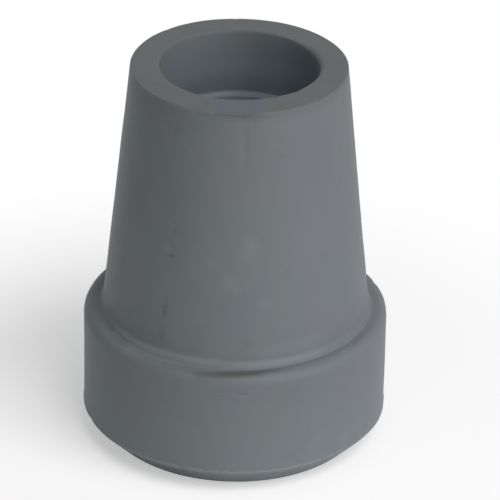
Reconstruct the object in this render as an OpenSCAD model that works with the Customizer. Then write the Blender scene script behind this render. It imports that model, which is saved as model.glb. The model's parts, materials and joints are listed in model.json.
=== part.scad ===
// Rubber cane tip, moulded in one piece: a tapering neck on a wide round collar,
// bevelled under the collar down to a flat foot, with a stepped blind bore that
// takes the end of the shaft. Millimetres, +Z up the axis of the shaft.
// The origin is the centre of the flat foot, so the tip stands on the XY plane.

/* [Overall] */
// Height from the flat foot to the rim of the bore
tip_h = 48.2; // [38:0.1:70]

/* [Bore] */
// Diameter of the wide mouth of the bore
mouth_d = 19; // [14:0.5:24]
// Depth of the wide mouth, down to the step inside the bore
mouth_depth = 8.1; // [4:0.1:14]
// How far the step inside the bore stands in from the mouth's wall
step_w = 1.5; // [0.8:0.1:2.5]
// Thickness of solid rubber under the floor of the bore
floor_t = 12; // [6:0.5:20]
// Radius of the softened inner edge of the rim
mouth_round = 0.2; // [0.1:0.05:0.6]

/* [Neck] */
// Width of the flat rim around the mouth
rim_w = 3.4; // [2:0.1:5]
// Radius of the softened outer edge of the rim
rim_round = 0.3; // [0.1:0.05:0.8]
// Radius of the hollow fillet where the neck meets the collar's ledge
neck_fillet = 0.8; // [0.3:0.1:1]

/* [Collar] */
// Outer diameter of the collar
collar_d = 37; // [31:0.5:50]
// Height of the flat ledge on top of the collar
collar_h = 16.1; // [8:0.1:20]
// Width of that ledge, from the collar's side in to the foot of the neck
ledge_w = 2.25; // [1.85:0.05:4]
// Radius of the collar's softened top edge
collar_round = 1.1; // [0.3:0.05:1.2]

/* [Foot] */
// Height of the bevel between the flat foot and the collar's side
bevel_h = 3.1; // [1:0.1:5]
// How far in from the collar's side the bevel brings the foot
bevel_in = 2.75; // [1:0.05:5]

/* [Hidden] */

turn_steps = 180;
arc_steps = 8;

collar_r = collar_d / 2;
foot_r = collar_r - bevel_in;
mouth_r = mouth_d / 2;
shaft_r = mouth_r - step_w;
step_z = tip_h - mouth_depth;

// The neck's side is a straight line in section, from its foot to its top
neck_foot_r = collar_r - ledge_w;
neck_top_r = mouth_r + rim_w;
neck_h = tip_h - collar_h;
taper = atan((neck_foot_r - neck_top_r) / neck_h);

// Radius of the neck's side at a height z
function neck_r(z) = neck_foot_r - (z - collar_h) * tan(taper);

// Points along an arc, from one angle to another
function arc(centre, radius, from, to) = [
    for (i = [0:arc_steps])
        let (a = from + (to - from) * i / arc_steps)
            centre + radius * [cos(a), sin(a)]
];

// The fillet's arc touches the ledge below it and the neck's side beside it
fillet_touch_z = collar_h + neck_fillet * (1 - sin(taper));
fillet_centre = [
    neck_r(fillet_touch_z) + neck_fillet * cos(taper),
    collar_h + neck_fillet
];

// The rim's outer arc touches the neck's side and the flat rim
rim_touch_z = tip_h - rim_round * (1 - sin(taper));
rim_centre = [
    neck_r(rim_touch_z) - rim_round * cos(taper),
    tip_h - rim_round
];

// Half section of the tip: up the outside, over the rim and down the bore
module half_section() {
    polygon(concat(
        [[0, 0], [foot_r, 0], [collar_r, bevel_h]],
        arc([collar_r - collar_round, collar_h - collar_round], collar_round, 0, 90),
        arc(fillet_centre, neck_fillet, 270, 180 + taper),
        arc(rim_centre, rim_round, taper, 90),
        arc([mouth_r + mouth_round, tip_h - mouth_round], mouth_round, 90, 180),
        [[mouth_r, step_z], [shaft_r, step_z], [shaft_r, floor_t], [0, floor_t]]
    ));
}

// The whole moulding, turned from its half section
module rubber_tip() {
    color("#787c80")
        rotate_extrude($fn = turn_steps)
            half_section();
}

rubber_tip();
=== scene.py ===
import json
import math

import bpy
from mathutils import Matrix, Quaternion, Vector


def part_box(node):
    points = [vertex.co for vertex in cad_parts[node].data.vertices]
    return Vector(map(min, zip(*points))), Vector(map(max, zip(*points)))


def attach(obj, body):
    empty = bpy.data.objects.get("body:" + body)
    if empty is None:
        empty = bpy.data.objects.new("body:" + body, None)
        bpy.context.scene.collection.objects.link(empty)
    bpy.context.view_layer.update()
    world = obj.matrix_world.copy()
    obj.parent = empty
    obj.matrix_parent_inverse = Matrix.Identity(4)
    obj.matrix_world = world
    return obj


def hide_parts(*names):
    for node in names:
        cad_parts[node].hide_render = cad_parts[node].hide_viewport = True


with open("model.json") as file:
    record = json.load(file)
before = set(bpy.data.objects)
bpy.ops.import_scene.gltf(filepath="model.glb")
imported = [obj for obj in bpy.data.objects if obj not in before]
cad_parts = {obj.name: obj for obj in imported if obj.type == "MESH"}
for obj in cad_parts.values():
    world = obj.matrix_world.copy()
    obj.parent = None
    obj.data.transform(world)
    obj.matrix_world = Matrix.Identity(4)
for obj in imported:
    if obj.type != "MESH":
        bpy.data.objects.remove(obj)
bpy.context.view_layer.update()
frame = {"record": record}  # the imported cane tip: one node, and with no joint its body is "root"

mm = 0.001


def linear(hexColour):
    # sRGB hex to the linear colour that the shaders take
    values = []
    for start in (1, 3, 5):
        part = int(hexColour[start:start + 2], 16) / 255
        values.append(part / 12.92 if part <= 0.04045 else ((part + 0.055) / 1.055) ** 2.4)
    return (*values, 1.0)


nodeAcross = 200  # how far apart the nodes stand in the editor
nodeDown = 260


def addNode(tree, kind, settings=None, links=None):
    # Settings go to the node's own options or, by name or number, to its sockets. A link comes
    # from a socket, or from a node's first output.
    node = tree.nodes.new("ShaderNode" + kind)
    for key, value in (settings or {}).items():
        if hasattr(node, str(key)):
            setattr(node, key, value)
        else:
            node.inputs[key].default_value = value
    feeding = -nodeAcross
    for key, source in (links or {}).items():
        if isinstance(source, bpy.types.Node):
            source = source.outputs[0]
        tree.links.new(source, node.inputs[key])
        feeding = max(feeding, source.node.location.x)
    # to the right of what feeds it, under what is already there
    column = feeding + nodeAcross
    stacked = sum(1 for other in tree.nodes if other.location.x == column)
    node.location = (column, -nodeDown * stacked)
    return node


# Places on the tip are an azimuth in degrees, from the front and growing to the right,
# with a radius and a height in mm.

def onTip(azimuth, radius, z):
    turn = math.radians(azimuth)
    return Vector((radius * math.sin(turn), -radius * math.cos(turn), z)) * mm


def placeOf(point):
    return math.degrees(math.atan2(point.x, -point.y)), math.hypot(point.x, point.y) / mm, point.z / mm


def hump(value, middle, spread):
    # 1 at the middle, falling smoothly to 0 at the spread on either side
    share = abs(value - middle) / spread
    return (1 - share * share) ** 2 if share < 1 else 0


def humpRound(azimuth, middle, spread):
    return hump((azimuth - middle + 180) % 360, 180, spread)


def ramp(value, start, end):
    share = min(max((value - start) / (end - start), 0), 1)
    return share * share * (3 - 2 * share)


# The moulding: one section drawn from the middle of the foot, out, up, over the rim and
# down the bore, and then spun.

node = "rubber_tip"
tipLow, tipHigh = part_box(node)
mounts = {mount["name"]: mount for mount in frame["record"]["mounts"]}
shaftBore, mouthBore = mounts["shaft_bore"], mounts["mouth_bore"]

tip = {
    "columns": 288,        # faces round the tip
    "fine": 0.15,          # mm, height of a face along the rim and the parting line
    "near": 0.36,          # on the rest of the outside
    "far": 1.4,            # down the bore and under the foot
    "bevelUp": 2.84,       # mm, the bevel under the collar, up to the mould's parting line
    "bevelIn": 2.75,
    "bead": 0.08,          # how far that line stands out
    "beadFrom": 0.06,      # and how far over the bevel it is full, stays full and has gone
    "beadTo": 0.18,
    "beadGone": 0.34,
    "collarTop": 16.1,     # the ledge on the collar, its width and its rounded edge
    "ledge": 2.25,
    "collarSoft": 1.1,
    "coveOut": 0.34,       # the little cove where the neck stands on it
    "coveUp": 0.95,
    "coveFootSoft": 0.12,
    "coveTopSoft": 0.16,
    "rim": 3.4,            # the flat rim, and its trimmed outer and inner edges
    "rimSoft": 0.14,
    "mouthSoft": 0.18,
    "trimmed": 1.2,        # how far down from the rim the faces stay fine
    "footSoft": 0.25,      # the foot's edge, the crisp edges and the bore's bottom corner
    "crisp": 0.06,
    "floorSoft": 0.5,
    "segments": 5,         # edges across a softened corner
}
collarR = tipHigh.x / mm
height = tipHigh.z / mm
shaftR = shaftBore["dims"]["r_mm"]
mouthR = mouthBore["dims"]["r_mm"]
floorZ = shaftBore["pos_m"][2] / mm - shaftBore["dims"]["length_mm"] / 2
stepZ = shaftBore["pos_m"][2] / mm + shaftBore["dims"]["length_mm"] / 2
footR = collarR - tip["bevelIn"]
neckFootR = collarR - tip["ledge"]
rimR = mouthR + tip["rim"]


def sideR(z):
    # radius of the outside at a height: the straight collar, and above it the tapering neck
    if z < tip["collarTop"]:
        return collarR
    return neckFootR + (rimR - neckFootR) * (z - tip["collarTop"]) / (height - tip["collarTop"])


def sectionCorners():
    # radius, height, softening of the corner, and height of the faces up to the next one
    fine, near, far, crisp = tip["fine"], tip["near"], tip["far"], tip["crisp"]
    bevelUp, beadR = tip["bevelUp"], collarR + tip["bead"]
    collarTop = tip["collarTop"]
    coveTop = collarTop + tip["coveUp"]
    trimZ = height - tip["trimmed"]
    return [
        (0, 0, 0, far),
        (footR, 0, tip["footSoft"], near),
        (collarR, bevelUp, 0, fine),
        (beadR, bevelUp + tip["beadFrom"], 0.03, fine),
        (beadR, bevelUp + tip["beadTo"], 0.05, fine),
        (collarR, bevelUp + tip["beadGone"], crisp, near),
        (collarR, collarTop, tip["collarSoft"], fine),
        (neckFootR + tip["coveOut"], collarTop, tip["coveFootSoft"], fine),
        (sideR(coveTop), coveTop, tip["coveTopSoft"], near),
        (sideR(trimZ), trimZ, 0, fine),
        (rimR, height, tip["rimSoft"], near / 2),
        (mouthR, height, tip["mouthSoft"], near),
        (mouthR, stepZ, crisp, near),
        (shaftR, stepZ, crisp, far),
        (shaftR, floorZ, tip["floorSoft"], far),
        (0, floorZ, 0, far),
    ]


sameSpot = 1e-7  # metres: points closer than this are one


def selectWhere(piece, test):
    # picks the vertices that pass the test, and the edges between them
    bpy.ops.object.mode_set(mode="OBJECT")
    mesh = piece.data
    for vertex in mesh.vertices:
        vertex.select = test(vertex.co)
    for edge in mesh.edges:
        edge.select = all(mesh.vertices[i].select for i in edge.vertices)
    for face in mesh.polygons:
        face.select = False
    bpy.ops.object.mode_set(mode="EDIT")


def onRun(start, end):
    # a test for the points on the straight line between two corners
    along = (end - start).normalized()

    def test(point):
        distance = (point - start).dot(along)
        aside = (point - start - along * distance).length
        return aside < sameSpot and -sameSpot < distance < (end - start).length + sameSpot
    return test


def drawSection(corners):
    bpy.ops.object.select_all(action="DESELECT")
    bpy.ops.mesh.primitive_plane_add(size=mm, location=(0, 0, 0))
    bpy.ops.object.mode_set(mode="EDIT")
    bpy.ops.mesh.select_mode(type="VERT")
    bpy.ops.mesh.select_all(action="SELECT")
    bpy.ops.mesh.merge(type="CENTER")  # the plane becomes one point, and the section grows from it
    section = bpy.context.object
    spots = [Vector((radius, 0, z)) * mm for radius, z, soft, face in corners]
    for here, there in zip(spots, spots[1:]):
        bpy.ops.mesh.extrude_vertices_move(TRANSFORM_OT_translate={"value": there - here})
    for spot, (radius, z, soft, face) in zip(spots, corners):
        if soft:
            selectWhere(section, lambda point: (point - spot).length < sameSpot)
            bpy.ops.mesh.bevel(offset=soft * mm, segments=tip["segments"], affect="VERTICES")
    for i, (here, there) in enumerate(zip(spots, spots[1:])):
        straight = (there - here).length / mm - corners[i][2] - corners[i + 1][2]
        cuts = round(straight / corners[i][3]) - 1
        if cuts > 0:
            selectWhere(section, onRun(here, there))
            bpy.ops.mesh.subdivide(number_cuts=cuts)
    return section


def spinSection(section):
    bpy.ops.mesh.select_all(action="SELECT")
    bpy.ops.mesh.spin(steps=tip["columns"], angle=math.tau, center=(0, 0, 0), axis=(0, 0, 1))
    bpy.ops.mesh.select_all(action="SELECT")
    bpy.ops.mesh.remove_doubles(threshold=10 * sameSpot)
    bpy.ops.mesh.normals_make_consistent(inside=False)
    bpy.ops.object.mode_set(mode="OBJECT")
    return section


moulding = spinSection(drawSection(sectionCorners()))
moulding.name = "tip_moulding"
print("moulding spun:", len(moulding.data.polygons), "faces")


# What the mould, the trimming and use have left on it: each is a vertex group that says
# where, and a modifier that says how much.

finish = {
    "skin": 0.11,          # mm, the outside's unevenness, and the size of its clouding
    "skinSize": 8,
    "skinFine": 0.035,
    "skinFineSize": 2.6,
    "crease": 0.05,        # the same where the neck stands on the ledge
    "creaseSize": 1.8,
    "lineUp": 0.3,         # how the parting line wanders up and down, and in and out
    "lineUpSize": 5,
    "lineOut": 0.1,
    "lineOutSize": 1.4,
    "seamAt": 2.5,         # degrees, the join of the mould's halves, and half its width
    "seamHalf": 1.9,
    "seamDeep": 0.03,
    "seamFaded": 33,       # mm, the heights where it has faded and where it is full
    "seamFull": 45,
    "lip": 0.07,           # mm, the trimmed lip at the rim's front, and half its length in degrees
    "lipHalf": 26,
    "rimFall": 0.2,        # mm, how much the rim slopes down to its edge at the front
    "rubbing": 36,         # turns of smoothing on the rubbed edges, of the rim and of the mouth
    "mouthRubbing": 140,
}


def weigh(piece, rule):
    group = piece.vertex_groups.new(name=rule.__name__)
    for vertex in piece.data.vertices:
        weight = rule(*placeOf(vertex.co))
        if weight > 0:
            group.add([vertex.index], min(weight, 1), "REPLACE")
    return group.name


def displace(piece, group, amount, direction="NORMAL", cloudSize=None):
    # amount in mm; with a cloud size, also in mm, half of it goes in and half out
    bpy.ops.object.modifier_add(type="DISPLACE")
    modifier = piece.modifiers[-1]
    modifier.vertex_group = group
    modifier.direction = direction
    modifier.strength = amount * mm
    modifier.mid_level = 0
    if cloudSize:
        cloud = bpy.data.textures.new(group + "Cloud", "CLOUDS")
        cloud.noise_scale = cloudSize * mm
        modifier.texture = cloud
        modifier.mid_level = 0.5
    bpy.ops.object.modifier_apply(modifier=modifier.name)


def rub(piece, group, turns):
    # rounds an edge over, as handling does
    bpy.ops.object.modifier_add(type="SMOOTH")
    modifier = piece.modifiers[-1]
    modifier.vertex_group = group
    modifier.factor = 0.5
    modifier.iterations = turns
    bpy.ops.object.modifier_apply(modifier=modifier.name)


def outside(azimuth, radius, z):
    return ramp(z, 0.3, 1.5) * ramp(radius, mouthR, mouthR + 1)


def seam(azimuth, radius, z):
    # the join of the mould's halves, front and back, fades down the neck
    at, half = finish["seamAt"], finish["seamHalf"]
    beside = humpRound(azimuth, at, half) + humpRound(azimuth, at + 180, half)
    down = ramp(z, finish["seamFaded"], finish["seamFull"])
    return beside * down * ramp(radius, rimR - 0.6, rimR - 0.2)


def trimLip(azimuth, radius, z):
    # the rim's front edge, where trimming has left it a little proud of the neck
    edge = ramp(z, height - 0.32, height - 0.17) * ramp(radius, rimR - 0.8, rimR - 0.2)
    return humpRound(azimuth, 0, finish["lipHalf"]) * edge


def rimFall(azimuth, radius, z):
    # the front of the rim slopes down a little from the mouth to its outer edge
    across = min(max((radius - mouthR) / tip["rim"], 0), 1)
    return across * ramp(abs(azimuth), 100, 62) * ramp(z, height - tip["trimmed"], height - 0.2)


def nearEdge(radius, z, edgeR, edgeZ, reach):
    return hump(math.hypot(radius - edgeR, z - edgeZ), 0, reach)


def rubbedRim(azimuth, radius, z):
    return humpRound(azimuth, 48, 48) * nearEdge(radius, z, rimR, height, 1.3)


def rubbedMouth(azimuth, radius, z):
    return humpRound(azimuth, 93, 56) * nearEdge(radius, z, mouthR, height, 1.2)


def partingLine(azimuth, radius, z):
    beadZ = tip["bevelUp"] + (tip["beadFrom"] + tip["beadTo"]) / 2
    return hump(z, beadZ, 0.7) * ramp(radius, collarR - 0.8, collarR - 0.2)


def ledgeCrease(azimuth, radius, z):
    return nearEdge(radius, z, neckFootR + 0.6, tip["collarTop"], 1.3)


# where, how far, along what, and the size of the clouding
moves = [
    (outside, finish["skin"], "NORMAL", finish["skinSize"]),
    (outside, finish["skinFine"], "NORMAL", finish["skinFineSize"]),
    (ledgeCrease, finish["crease"], "NORMAL", finish["creaseSize"]),
    (partingLine, finish["lineUp"], "Z", finish["lineUpSize"]),
    (partingLine, finish["lineOut"], "NORMAL", finish["lineOutSize"]),
    (seam, -finish["seamDeep"], "NORMAL", None),
    (trimLip, -finish["lip"], "Y", None),
]
for where, amount, direction, cloudSize in moves:
    displace(moulding, weigh(moulding, where), amount, direction, cloudSize)
rub(moulding, weigh(moulding, rubbedRim), finish["rubbing"])
rub(moulding, weigh(moulding, rubbedMouth), finish["mouthRubbing"])
displace(moulding, weigh(moulding, rimFall), -finish["rimFall"], "Z")

# Knocks: azimuth, radius, height, then how far the spot goes out and up, and how far round it
# the surface follows, all in mm.
knocks = [
    (-22, rimR, height, -0.10, -0.07, 0.7),             # step in the trimmed edge
    (-12, rimR, height, -0.05, -0.05, 0.8),
    (-176.9, rimR - 1.6, height, 0, -0.08, 0.45),       # nicks at the back of the rim
    (147.5, mouthR, height - 0.1, 0.04, -0.04, 0.5),
    (154, rimR - 0.5, height, 0, -0.06, 0.4),
    (149, rimR - 0.4, height, 0, -0.05, 0.4),
    (47, rimR, height, -0.10, -0.06, 1.0),
    (44, mouthR + 0.1, height, 0.12, -0.04, 2.0),       # rubbed wider at the mouth
    (-138, rimR - 0.4, height, 0, -0.05, 0.5),
    (7.6, sideR(31.6), 31.6, -0.05, 0, 1.4),            # shallow dents in the neck
    (-1.2, sideR(27.2), 27.2, -0.05, 0, 1.4),
    (-30.4, sideR(29.3), 29.3, -0.06, 0, 0.5),
    (-32.5, sideR(22.6), 22.6, -0.07, 0, 0.6),
    (-32.5, sideR(21.4), 21.4, -0.07, 0, 0.6),
    (132, sideR(35), 35, -0.06, 0, 1.2),
    (-97, sideR(24), 24, -0.05, 0, 1.0),
    (-28, collarR, tip["bevelUp"] + 0.3, -0.07, 0.03, 0.7),   # knocks along the bottom of the collar
    (-19, collarR, tip["bevelUp"] + 0.3, -0.06, 0.02, 0.6),
    (-10.5, collarR, tip["bevelUp"] + 0.3, -0.06, 0.02, 0.6),
    (12, collarR, tip["bevelUp"] + 0.3, -0.05, 0.02, 0.6),
    (24, collarR, tip["bevelUp"] + 0.6, -0.07, 0, 1.0),
    (58.5, collarR, 4.3, -0.10, 0, 1.0),
    (118, collarR, tip["bevelUp"] + 0.2, -0.10, 0.02, 0.9),
    (151, collarR, tip["bevelUp"] + 0.2, -0.09, 0.03, 1.0),
    (-70, collarR, tip["bevelUp"] + 0.2, -0.08, 0.02, 0.8),
    (-141, collarR, tip["bevelUp"] + 0.2, -0.10, 0.04, 1.1),
    (27.5, collarR - 0.05, 8, -0.04, 0, 0.9),
    (110, collarR - 0.3, tip["collarTop"] - 0.3, -0.06, -0.06, 1.0),
    (-128, collarR - 0.3, tip["collarTop"] - 0.3, -0.06, -0.06, 1.2),
]


def knock(piece, azimuth, radius, z, out, up, reach):
    spot = onTip(azimuth, radius, z)
    closest = min(piece.data.vertices, key=lambda vertex: (vertex.co - spot).length_squared).index
    bpy.ops.object.mode_set(mode="EDIT")
    bpy.ops.mesh.select_all(action="DESELECT")
    bpy.ops.object.mode_set(mode="OBJECT")
    piece.data.vertices[closest].select = True
    bpy.ops.object.mode_set(mode="EDIT")
    bpy.ops.transform.translate(
        value=onTip(azimuth, out, up), use_proportional_edit=True,
        proportional_edit_falloff="SMOOTH", proportional_size=reach * mm)
    bpy.ops.object.mode_set(mode="OBJECT")


for row in knocks:
    knock(moulding, *row)
bpy.ops.object.shade_smooth()
moulding.vertex_groups.clear()
print("moulding finished with", len(knocks), "knocks")


# Moulded grey rubber: satin, with a fine even grain from the mould's skin and faint clouding where
# the compound flowed. It goes dull and pale where it is scuffed, and takes dirt in the crease of its
# ledge.
# Its colour also carries painted light and shade: highlights at the foot of the neck, and shade in the
# bore, the crease and on the bevel.

rubber = {
    "body": "#747a7d",
    "bodyCool": "#6f797b",
    # warmer tone in the clouding, and painted light: the right side tinted warmer where the lamps light
    # it
    "bodyWarmAndLit": "#75797e",
    "handledAndShade": "#646768",     # the rim and the top of the neck, greyed by fingers; also painted shade down the neck's right edge, under the rim on the left and over the rim's right edge
    "rimCoolShade": "#606a71",     # the rim's front, more bluish, and darker as painted shade on its sloping front
    "bloomAndLight": "#818c94",       # inside the bore a bluish bloom, painted paler as light that reaches in
    "boreShade": "#566069",      # painted shade down the bore: at the foot of the mouth's wall, round the shaft's opening and on the step
    "dirt": "#474a48",        # dirt packed in the crease
    # crease: painted shade in the crease at the neck's foot, and over the collar's top edge on the left
    "crease": "#5d6164",
    "groundDirtAndShade": "#484e52",  # dirt that the foot picks up, and painted shade on the bevel under the collar
    "dustAndLight": "#8a9597",       # greenish dust low down, and painted light on the ledge's left side
    "pale": "#8f9497",        # scuffs and rubbed edges, and painted highlights at the neck's foot, on the ledge and along the parting line
    "dark": "#4c5053",        # specks and scratches, and painted shadow under the rim's lip, at the neck's foot and over the parting line
    "stain": "#655e53",       # brown stains on the rim and in the dirt
    "rimLean": 0.088,         # mm of height for each mm out to the rim's edge
    "roughness": 0.56,
    "scuffed": 0.15,          # how much rougher a scuff is
    "ior": 1.52,
    "gloss": 0.25,            # of full specular, because the skin is dusty and dull
    "flow": 9,                # mm, size of the clouding
    "patches": 2.2,           # mm, size of the patches of wear
    "patchy": 0.08,           # how much the roughness varies with them
    "fray": 0.9,              # mm, how far a mark's outline wanders
    "grain": 0.4,             # mm; the real grain is under 0.1 mm, and is drawn coarser to show
    "grainDeep": 0.006,
    "peel": 1.5,              # mm, the soft unevenness of the mould's skin
    "peelDeep": 0.012,
    "scratchDeep": 0.03,      # mm, what the dark marks cut into it
    "scuffDeep": 0.01,
    "markThick": 1.2,         # mm, how far a mark's colour reaches into the side, and into a flat
    "flatMarkThick": 0.5,
}

# Marks on the sides: azimuth, height, width and height of the mark in mm, lean in degrees, strength
paleMarks = [
    (7.6, 31.7, 1.5, 1.9, -20, 0.24),     # rubbed spots
    (5.4, 30.2, 1.2, 1.3, 10, 0.12),
    (-1.4, 27.3, 1.5, 1.2, 40, 0.2),
    (0.9, 26.2, 0.9, 1.1, 35, 0.15),
    (-9.8, 29.2, 1.5, 0.9, 35, 0.05),
    (-33.4, 30.1, 1.0, 0.6, 10, 0.2),
    (-32.3, 33.3, 0.9, 0.8, 0, 0.14),
    (-25.0, 42.6, 0.6, 0.8, 0, 0.12),
    # painted highlight: a sheen streak down the right of the neck
    (56, 40.0, 1.0, 7.0, 0, 0.08),
    (13.5, 24.2, 1.2, 1.0, 0, 0.12),
    (2.4, 43.6, 0.4, 3.4, 0, 0.12),       # painted light on the lit side of the seam
    (-18, 15.85, 1.9, 0.4, 0, 0.3),       # rubbed edge beside the dirt on the ledge
    (-6.8, 13.85, 0.7, 0.2, 0, 0.26),     # scratches on the collar
    (3.2, 13.75, 1.3, 0.2, 7, 0.3),
    (33, 5.9, 2.6, 1.3, -30, 0.13),
    (47, 4.4, 2.2, 1.6, -20, 0.16),
    (140, 30.0, 1.5, 1.9, 20, 0.35),
    (-104, 27.0, 1.3, 1.7, -15, 0.35),
    (-165, 21.0, 1.0, 3.0, 8, 0.25),
    (112, 9.0, 2.6, 0.6, -18, 0.3),
    (-75, 7.5, 2.4, 0.5, 14, 0.25),
    (-150, 11.0, 3.0, 0.4, 25, 0.35),
]
darkMarks = [
    (5.0, 44.4, 0.5, 2.8, 0, 0.1),        # shaded side of the seam
    (-3.0, 47.6, 8.0, 0.8, 0, 0.22),       # painted shadow under the lip that trimming left
    (-1.0, 47.8, 5.6, 0.35, 0, 0.42),
    (-30.4, 29.2, 0.62, 0.25, 10, 0.6),
    (-29.6, 32.3, 0.35, 0.6, 0, 0.22),
    (-32.6, 22.0, 0.55, 1.3, -4, 0.42),
    (-32.0, 23.4, 0.5, 1.4, -4, 0.14),
    (-32.8, 19.0, 0.6, 1.6, 0, 0.2),
    # painted shade at the foot of the neck on the left
    (-38, 18.3, 3.2, 0.8, 10, 0.12),
    (-13, 15.45, 1.4, 0.55, 0, 0.16),
    (19.0, 43.2, 0.9, 0.25, 30, 0.1),
    (22.0, 42.5, 1.0, 0.28, 35, 0.14),
    (-26.4, 42.6, 0.35, 0.45, 0, 0.15),
    (-32.0, 44.9, 0.9, 0.9, 0, 0.16),
    (-45.0, 37.9, 1.0, 0.9, 0, 0.1),
    (23.2, 27.6, 0.5, 1.0, 0, 0.1),
    (23.1, 33.6, 0.8, 0.5, 0, 0.06),
    (44.4, 28.6, 1.1, 0.6, 0, 0.07),
    (5.3, 19.3, 1.2, 0.6, 15, 0.1),
    (3.2, 14.05, 1.2, 0.18, 7, 0.26),
    (-6.8, 14.1, 0.7, 0.18, 0, 0.16),
    (23.5, 14.0, 1.1, 0.7, -10, 0.08),
    (58.5, 4.4, 0.9, 0.5, 0, 0.15),
    (29.5, 7.2, 0.7, 2.0, -20, 0.05),
    (26.0, 5.6, 2.2, 0.6, -25, 0.05),
    (21.8, 4.6, 1.5, 0.5, 10, 0.08),
    (-27.8, 3.25, 0.8, 0.18, 8, 0.3),     # nicks over the parting line
    (-19.0, 3.25, 0.8, 0.18, 5, 0.28),
    (-10.5, 3.2, 0.6, 0.18, 0, 0.3),
    # painted shade dimming the parting line's highlight here
    (-7.0, 3.0, 2.2, 0.22, 0, 0.2),
    (-4.4, 3.2, 0.4, 0.18, 0, 0.3),
    (0.0, 3.2, 0.5, 0.16, 0, 0.26),
    (11.7, 3.25, 0.9, 0.16, 0, 0.25),
    (17.9, 3.25, 0.7, 0.16, 0, 0.2),
    (118, 40.0, 0.4, 1.2, 10, 0.5),
    (-118, 33.0, 0.7, 0.4, 20, 0.5),
    (170, 24.0, 0.4, 2.0, -12, 0.4),
    (88, 6.0, 1.5, 0.4, 14, 0.4),
    (-170, 6.5, 2.0, 0.5, -20, 0.4),
]
# Marks on the flat rim: azimuth, radius, width round the rim and depth across it, strength
rimDarkMarks = [
    (-176.9, 11.3, 0.6, 0.3, 0.5),
    (155.6, 12.3, 0.6, 0.25, 0.4),
    (152.4, 12.3, 0.4, 0.25, 0.35),
    (148.7, 12.3, 0.5, 0.25, 0.35),
    (153.1, 11.8, 0.5, 0.2, 0.3),
    (-60, 11.2, 1.2, 0.6, 0.12),
    (96, 10.8, 1.6, 0.9, 0.12),
    (-130, 10.6, 1.5, 0.6, 0.15),
]
stainMarks = [
    (24, 11.7, 2.2, 1.4, 0.45),
    (26, 12.5, 1.7, 1.1, 0.5),
]
# Dirt on the ledge, in a streak that crosses it from the collar's edge to the foot of the neck
dirtMarks = [
    (-13, 18.2, 2.8, 0.85, 0.55),
    (-9, 18.1, 2.8, 0.8, 0.6),
    (-5, 17.8, 2.8, 0.9, 0.66),
    (-1, 17.6, 2.8, 0.98, 0.68),
    (3, 17.45, 2.8, 0.98, 0.66),
    (7, 17.38, 2.8, 0.88, 0.6),
    (12, 17.2, 2.8, 0.65, 0.38),
]
dirtStains = [
    (-2, 17.8, 2.6, 0.8, 0.2),
    (2, 17.7, 2.2, 0.8, 0.18),
]


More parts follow.
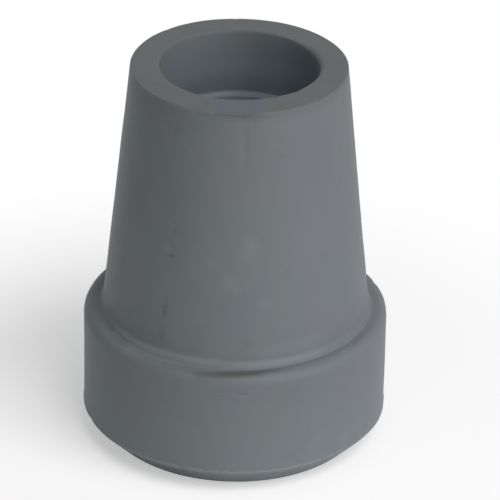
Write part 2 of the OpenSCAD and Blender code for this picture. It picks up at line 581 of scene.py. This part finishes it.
def buildRubber():
    material = bpy.data.materials.new("mouldedGreyRubber")
    material.use_nodes = True
    tree = material.node_tree
    shader = tree.nodes["Principled BSDF"]
    place = addNode(tree, "TexCoord").outputs["Object"]
    smooth = {"interpolation_type": "SMOOTHSTEP"}

    # a point's place in the tip's half section: its radius along X and its height along Z
    flat = addNode(tree, "VectorMath", {"operation": "MULTIPLY", 1: (1, 1, 0)}, {0: place})
    radius = addNode(tree, "VectorMath", {"operation": "LENGTH"}, {0: flat}).outputs["Value"]
    z = addNode(tree, "SeparateXYZ", {}, {0: place}).outputs["Z"]
    section = addNode(tree, "CombineXYZ", {}, {"X": radius, "Z": z})
    outward = addNode(tree, "VectorMath", {"operation": "NORMALIZE"}, {0: flat})
    # height with a little of the radius, so that the colour of the rim ends at the mouth but goes
    # over its outer edge
    settings = {"operation": "DOT_PRODUCT", 1: (rubber["rimLean"], 0, 1)}
    leaning = addNode(tree, "VectorMath", settings, {0: section}).outputs["Value"]
    rimZ = height + rubber["rimLean"] * mouthR

    flow = addNode(tree, "TexNoise", {"Scale": 1 / (rubber["flow"] * mm)}, {0: place})
    settings = {"Scale": 1 / (rubber["patches"] * mm), "Detail": 4.0, "Roughness": 0.6}
    patches = addNode(tree, "TexNoise", settings, {0: place})

    # frayed coordinates, so that no mark has a clean outline
    cloud = addNode(tree, "TexNoise", {"Scale": 1 / (rubber["fray"] * mm), "Detail": 3.0}, {0: place})
    centred = addNode(
        tree, "VectorMath", {"operation": "SUBTRACT", 1: (0.5, 0.5, 0.5)}, {0: cloud.outputs["Color"]})
    wander = {"operation": "MULTIPLY_ADD", 1: Vector((1, 1, 1)) * rubber["fray"] * mm}
    frayed = addNode(tree, "VectorMath", wander, {0: centred, 2: place})

    def band(ringR, ringZ, wide, tall):
        # a soft band right round the tip, strongest along its middle
        settings = {
            "vector_type": "TEXTURE",
            "Location": Vector((ringR, 0, ringZ)) * mm,
            "Scale": Vector((wide, 1, tall)) * mm,
        }
        local = addNode(tree, "Mapping", settings, {"Vector": section})
        inside = addNode(tree, "TexGradient", {"gradient_type": "SPHERICAL"}, {"Vector": local})
        return addNode(tree, "MapRange", smooth, {"Value": inside.outputs["Fac"]})

    def facing(azimuth, spread, soften):
        # the side of the tip that faces an azimuth, in degrees
        settings = {"operation": "DOT_PRODUCT", 1: onTip(azimuth, 1, 0) / mm}
        towards = addNode(tree, "VectorMath", settings, {0: outward}).outputs["Value"]
        none, full = math.cos(math.radians(spread + soften)), math.cos(math.radians(spread))
        settings = {**smooth, "From Min": none, "From Max": full}
        return addNode(tree, "MapRange", settings, {"Value": towards})

    def marksMask(marks, place):
        # each mark is a soft ellipsoid of azimuth, radius, height, size, lean and strength
        mask = None
        for azimuth, markR, markZ, size, lean, strength in marks:
            settings = {
                "vector_type": "TEXTURE",
                "Location": onTip(azimuth, markR, markZ),
                "Rotation": (0, math.radians(lean), math.radians(azimuth)),
                "Scale": Vector(size) * mm,
            }
            local = addNode(tree, "Mapping", settings, {"Vector": place})
            inside = addNode(tree, "TexGradient", {"gradient_type": "SPHERICAL"}, {"Vector": local})
            settings = {**smooth, "From Max": 0.9, "To Max": strength}
            spot = addNode(tree, "MapRange", settings, {"Value": inside.outputs["Fac"]})
            mask = addNode(tree, "Math", {"operation": "MAXIMUM"}, {0: mask, 1: spot}) if mask else spot
        return mask

    def sideMarks(marks):
        thick = rubber["markThick"]
        return [(a, sideR(z), z, (wide, thick, tall), lean, s) for a, z, wide, tall, lean, s in marks]

    def topMarks(marks, z):
        thick = rubber["flatMarkThick"]
        return [(a, r, z, (wide, deep, thick), 0, s) for a, r, wide, deep, s in marks]

    pale = marksMask(sideMarks(paleMarks), frayed)
    dark = marksMask(sideMarks(darkMarks) + topMarks(rimDarkMarks, height), frayed)
    stain = marksMask(topMarks(stainMarks, height) + topMarks(dirtStains, tip["collarTop"]), frayed)
    dirt = marksMask(topMarks(dirtMarks, tip["collarTop"]), place)

    # where the wear, the dirt and the painted light and shade gather: what is measured, and its value at
    # none and at all of it; "rim" and "flat" together are the trimmed rim, and "low" and "bevel" the
    # bevel under the collar
    ramps = {
        "cool": (flow, 0.5, 0.25),
        "warm": (flow, 0.5, 0.75),
        "worn": (patches, 0.44, 0.6),
        "rim": (leaning, (rimZ - 0.2) * mm, (rimZ - 0.05) * mm),
        "flat": (radius, (rimR - 0.03) * mm, (rimR - 0.15) * mm),
        "touched": (z, height / 2 * mm, height * mm),
        "dustAndLight": (z, 18 * mm, 2 * mm),
        "bore": (radius, (mouthR + 0.3) * mm, (mouthR + 0.02) * mm),
        "inside": (z, (height + 1) * mm, (stepZ - 1) * mm),
        "under": (z, 0.2 * mm, 0.02 * mm),
        "low": (z, tip["bevelUp"] * mm, (tip["bevelUp"] - 0.4) * mm),
        "bevel": (radius, (footR - 0.3) * mm, footR * mm),
    }
    where = {}
    for name, (source, none, full) in ramps.items():
        settings = {**smooth, "From Min": none, "From Max": full}
        where[name] = addNode(tree, "MapRange", settings, {"Value": source})
    collarTop = tip["collarTop"]

    # colour of each layer, how much of it shows at most, and the masks that together say where
    layers = [
        ("bodyCool", 1, [where["cool"]]),
        ("bodyWarmAndLit", 1, [where["warm"]]),
        # painted light: the right side warmer, as the lamps light it
        ("bodyWarmAndLit", 0.5, [facing(65, 18, 30)]),
        ("dustAndLight", 0.22, [where["dustAndLight"]]),
        ("handledAndShade", 0.2, [where["touched"]]),
        ("handledAndShade", 0.14, [where["touched"], facing(-18, 24, 24)]),
        # painted shade down the right edge of the neck
        ("handledAndShade", 0.35, [where["touched"], facing(90, 12, 16)]),
        # painted shadow below the rim on the front left
        ("handledAndShade", 0.3, [band(rimR, height - 1.2, 0.9, 3.0), facing(-55, 22, 25)]),
        ("handledAndShade", 0.94, [where["rim"], where["flat"]]),
        # the rim's front bluish, and painted darker as shade on its slope
        ("rimCoolShade", 0.8, [where["rim"], where["flat"], facing(4, 10, 16)]),
        # painted light: the inside of the bore paler and bluish
        ("bloomAndLight", 1, [where["bore"], where["inside"]]),
        # painted shade: darker down the mouth's wall, round the shaft's opening and on the back of the
        # step
        ("boreShade", 0.75, [where["bore"], band(mouthR, stepZ + 0.3, 0.5, 3.6)]),
        ("boreShade", 0.55, [band(shaftR, stepZ, 0.6, 0.6)]),
        ("boreShade", 0.42, [band(shaftR + 0.7, stepZ, 1.2, 0.6), facing(162, 14, 14)]),
        # painted light on the right of the bore
        ("bloomAndLight", 0.5, [where["bore"], facing(112, 30, 30)]),
        # painted shade in the crease at the neck's foot, on the right
        ("crease", 0.22, [band(neckFootR + 0.5, collarTop, 0.45, 0.45), facing(18, 12, 16)]),
        # painted highlights along the cove at the foot of the neck, and on the ledge at the right
        ("pale", 0.36, [band(neckFootR + 0.1, collarTop + 0.55, 0.6, 0.6), facing(20, 12, 14)]),
        ("pale", 0.15, [band(neckFootR - 0.2, collarTop + 2, 0.8, 1.7), facing(25, 8, 12)]),
        ("pale", 0.32, [band(neckFootR, collarTop + 0.8, 0.6, 0.8), facing(-20, 8, 10)]),
        ("pale", 0.42, [band(neckFootR + 0.1, collarTop + 0.6, 0.7, 0.8), facing(-47, 9, 9)]),
        ("pale", 0.3, [band(neckFootR + 1.1, collarTop, 0.55, 0.5), facing(38, 10, 10)]),
        # painted light on the ledge's left side, broken into patches
        ("dustAndLight", 0.4, [band(neckFootR + 0.9, collarTop, 1.3, 0.8), where["worn"], facing(-48, 18, 14)]),
        # painted shade dimming the collar's top edge on the left
        ("crease", 0.35, [band(collarR - 0.5, collarTop - 0.3, 1.1, 1.1), facing(-20, 16, 18)]),
        ("crease", 0.2, [band(collarR - 0.5, collarTop - 0.3, 1.1, 1.1), facing(-63, 8, 9)]),
        # painted shade over the rim's outer edge on the right, where it would catch the light
        ("handledAndShade", 0.55, [band(rimR, height - 0.3, 1.0, 1.5), facing(46, 40, 14)]),
        # pale line along the parting line: partly wear, partly painted highlight
        ("pale", 0.25, [band(collarR, tip["bevelUp"] + 0.24, 0.32, 0.32)]),
        # painted shade on the bevel under the collar, darkest on the left
        ("groundDirtAndShade", 0.25, [where["low"]]),
        ("groundDirtAndShade", 1, [where["low"], where["bevel"], facing(-85, 50, 40)]),
        # dirt picked up on the underside of the foot
        ("groundDirtAndShade", 0.5, [where["under"], where["worn"]]),
        ("dirt", 1, [dirt]),
        ("pale", 1, [pale]),
        ("dark", 1, [dark]),
        ("stain", 1, [stain]),
    ]
    colour = None
    for name, most, masks in layers:
        share = masks[0]
        for mask in masks[1:]:
            share = addNode(tree, "Math", {"operation": "MULTIPLY"}, {0: share, 1: mask})
        share = addNode(tree, "Math", {"operation": "MULTIPLY", 1: most}, {0: share})
        settings = {"data_type": "RGBA", 6: linear(rubber["body"]), 7: linear(rubber[name])}
        links = {0: share, 6: colour} if colour else {0: share}
        colour = addNode(tree, "Mix", settings, links).outputs[2]
    tree.links.new(colour, shader.inputs["Base Color"])

    # duller where it is scuffed
    least = rubber["roughness"] - rubber["patchy"] / 2
    settings = {"operation": "MULTIPLY_ADD", 1: rubber["scuffed"], 2: least}
    dull = addNode(tree, "Math", settings, {0: pale})
    settings = {"operation": "MULTIPLY_ADD", 1: rubber["patchy"]}
    uneven = addNode(tree, "Math", settings, {0: patches, 2: dull})
    tree.links.new(uneven.outputs[0], shader.inputs["Roughness"])
    shader.inputs["IOR"].default_value = rubber["ior"]
    shader.inputs["Specular IOR Level"].default_value = rubber["gloss"]

    # heights in mm: the grain and the peel of the skin, and the marks that are cut into it
    grain = addNode(tree, "TexNoise", {"Scale": 1 / (rubber["grain"] * mm)}, {0: place})
    peel = addNode(tree, "TexNoise", {"Scale": 1 / (rubber["peel"] * mm)}, {0: place})
    relief = addNode(tree, "Math", {"operation": "MULTIPLY", 1: rubber["grainDeep"]}, {0: grain})
    cuts = ((rubber["peelDeep"], peel), (-rubber["scratchDeep"], dark), (-rubber["scuffDeep"], pale))
    for amount, source in cuts:
        relief = addNode(tree, "Math", {"operation": "MULTIPLY_ADD", 1: amount}, {0: source, 2: relief})
    bump = addNode(tree, "Bump", {"Strength": 1.0, "Distance": mm}, {"Height": relief})
    tree.links.new(bump.outputs["Normal"], shader.inputs["Normal"])
    return material


moulding.data.materials.append(buildRubber())
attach(moulding, "root")
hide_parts(node)
print("rubber done")


# The studio: a paper sweep that reads white, with the tip's shadow kept close round it.

room = {
    "floorSize": 4,
    "paper": 0.8,
    "lift": 0.42,           # what the paper shows beyond the light on it
    "shadowKept": 30,       # mm from the tip's axis, and where the white is reached
    "whiteFrom": 70,
    "light": 0.204,         # the room's own light on the tip
    "lightColour": (0.925, 1.0, 0.93, 1),    # a little green, and the lamps a little red
    "lampColour": (1.0, 0.963, 0.988),
}


def seenDirectly(tree):
    # 1 for the camera, for reflections and through glass, where the background is plain white
    path = addNode(tree, "LightPath").outputs
    links = {0: path["Is Camera Ray"], 1: path["Is Glossy Ray"]}
    either = addNode(tree, "Math", {"operation": "MAXIMUM"}, links)
    return addNode(tree, "Math", {"operation": "MAXIMUM"}, {0: either, 1: path["Is Transmission Ray"]})


# Matt white paper, calendered: an even white ground with no grain or gloss to see.
def buildPaper():
    material = bpy.data.materials.new("mattWhitePaper")
    material.use_nodes = True
    tree = material.node_tree
    tree.nodes.clear()
    paper = room["paper"]
    lit = addNode(tree, "BsdfDiffuse", {"Color": (paper, paper, paper, 1)})
    seen = seenDirectly(tree)
    lift = addNode(tree, "Math", {"operation": "MULTIPLY", 1: room["lift"]}, {0: seen})
    glow = addNode(tree, "Emission", {"Color": (1, 1, 1, 1)}, {"Strength": lift})
    lifted = addNode(tree, "AddShader", {}, {0: lit, 1: glow})
    white = addNode(tree, "Emission", {"Color": (1, 1, 1, 1), "Strength": 1.0})
    place = addNode(tree, "TexCoord").outputs["Object"]
    away = addNode(tree, "VectorMath", {"operation": "LENGTH"}, {0: place}).outputs["Value"]
    settings = {"interpolation_type": "SMOOTHSTEP"}
    settings["From Min"] = room["shadowKept"] * mm
    settings["From Max"] = room["whiteFrom"] * mm
    far = addNode(tree, "MapRange", settings, {"Value": away})
    whiteShare = addNode(tree, "Math", {"operation": "MULTIPLY"}, {0: far, 1: seen})
    mixed = addNode(tree, "MixShader", {}, {0: whiteShare, 1: lifted, 2: white})
    addNode(tree, "OutputMaterial", {}, {"Surface": mixed})
    return material


bpy.ops.object.select_all(action="DESELECT")
bpy.ops.mesh.primitive_plane_add(size=room["floorSize"], location=(0, 0, 0))
paperSweep = bpy.context.object
paperSweep.name = "paper_sweep"
paperSweep.data.materials.append(buildPaper())

world = bpy.data.worlds.new("studioRoom")
world.use_nodes = True
bpy.context.scene.world = world
tree = world.node_tree
tree.nodes.clear()
roomLight = addNode(tree, "Background", {"Color": room["lightColour"], "Strength": room["light"]})
whiteWalls = addNode(tree, "Background", {"Color": (1, 1, 1, 1), "Strength": 1.0})
mixed = addNode(tree, "MixShader", {}, {0: seenDirectly(tree), 1: roomLight, 2: whiteWalls})
addNode(tree, "OutputWorld", {}, {"Surface": mixed})

# Softboxes: azimuth, elevation, distance in metres, width and height in metres, watts
softboxes = {
    "keySoftbox": (42, 52, 0.8, 0.65, 0.5, 4.08),
    "lowStrip": (44, 8, 0.8, 0.7, 0.2, 1.44),
}
middle = Vector((0, 0, height / 2)) * mm
for name, (azimuth, elevation, distance, wide, tall, watts) in softboxes.items():
    rise = math.radians(elevation)
    toLamp = onTip(azimuth, math.cos(rise), math.sin(rise)) / mm * distance
    bpy.ops.object.light_add(type="AREA", location=middle + toLamp)
    lamp = bpy.context.object
    lamp.name = name
    lamp.data.shape = "RECTANGLE"
    lamp.data.size = wide
    lamp.data.size_y = tall
    lamp.data.energy = watts
    lamp.data.color = room["lampColour"]
    lamp.rotation_euler = (-toLamp).to_track_quat("-Z", "Y").to_euler()

# A long lens, looking down into the mouth of the bore.
view = {
    "distance": 445.8,      # mm, from a point on the axis
    "fromHeight": 23.0,
    "above": 28.42,         # degrees
    "aim": (1.66, 0, 23.3),
    "roll": 1.08,
    "lens": 264.7,
    "sensor": 36,
    "nearest": 10,          # mm, where the view starts
}
rise = math.radians(view["above"])
eye = onTip(0, view["distance"] * math.cos(rise), view["fromHeight"] + view["distance"] * math.sin(rise))
bpy.ops.object.camera_add(location=eye)
camera = bpy.context.object
aim = (Vector(view["aim"]) * mm - eye).to_track_quat("-Z", "Y")
camera.rotation_mode = "QUATERNION"
camera.rotation_quaternion = aim @ Quaternion((0, 0, 1), math.radians(view["roll"]))
camera.data.lens = view["lens"]
camera.data.sensor_width = view["sensor"]
camera.data.clip_start = view["nearest"] * mm
bpy.context.scene.camera = camera
bpy.context.scene.view_settings.view_transform = "Standard"
print("studio done")
